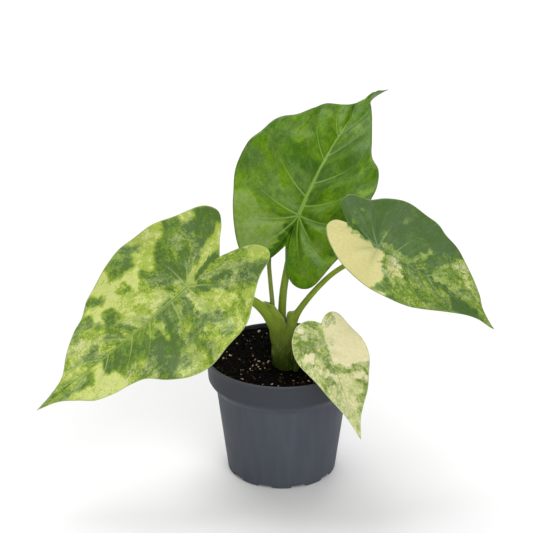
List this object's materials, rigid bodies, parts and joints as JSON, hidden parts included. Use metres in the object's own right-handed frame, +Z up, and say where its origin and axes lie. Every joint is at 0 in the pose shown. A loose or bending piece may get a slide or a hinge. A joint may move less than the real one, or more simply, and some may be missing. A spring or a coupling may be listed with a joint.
{
  "type": "potted variegated giant taro",
  "caption": "House plant with large variegated arrow-shaped leaves on sheathed stalks, standing in soil in a round tapered nursery pot with a deep rim band.",
  "frame": {"origin": "centre of the flat pad under the pot's floor, on the surface that the pot stands on", "axes": "+Z up along the pot's axis; the pictured front faces -Y"},
  "size_m": [0.3446, 0.2759, 0.2678],
  "materials": {
    "pot": "satin moulded plastic",
    "soil": "moist peat mix, matte",
    "corm": "rough bark-like skin",
    "leaf_left": "satin leaf, marbled lime and green",
    "leaf_middle": "glossy leaf, mid green",
    "leaf_right": "satin leaf, blue-green and cream",
    "leaf_front_small": "satin leaf, cream and green",
    "leaf_back_small": "satin leaf, mid green"
  },
  "bodies": {
    "root": {"pot": "pot", "soil": "soil", "corm": "corm", "leaf_left": "leaf_left", "leaf_middle": "leaf_middle", "leaf_right": "leaf_right", "leaf_front_small": "leaf_front_small", "leaf_back_small": "leaf_back_small"}
  },
  "joints": []
}
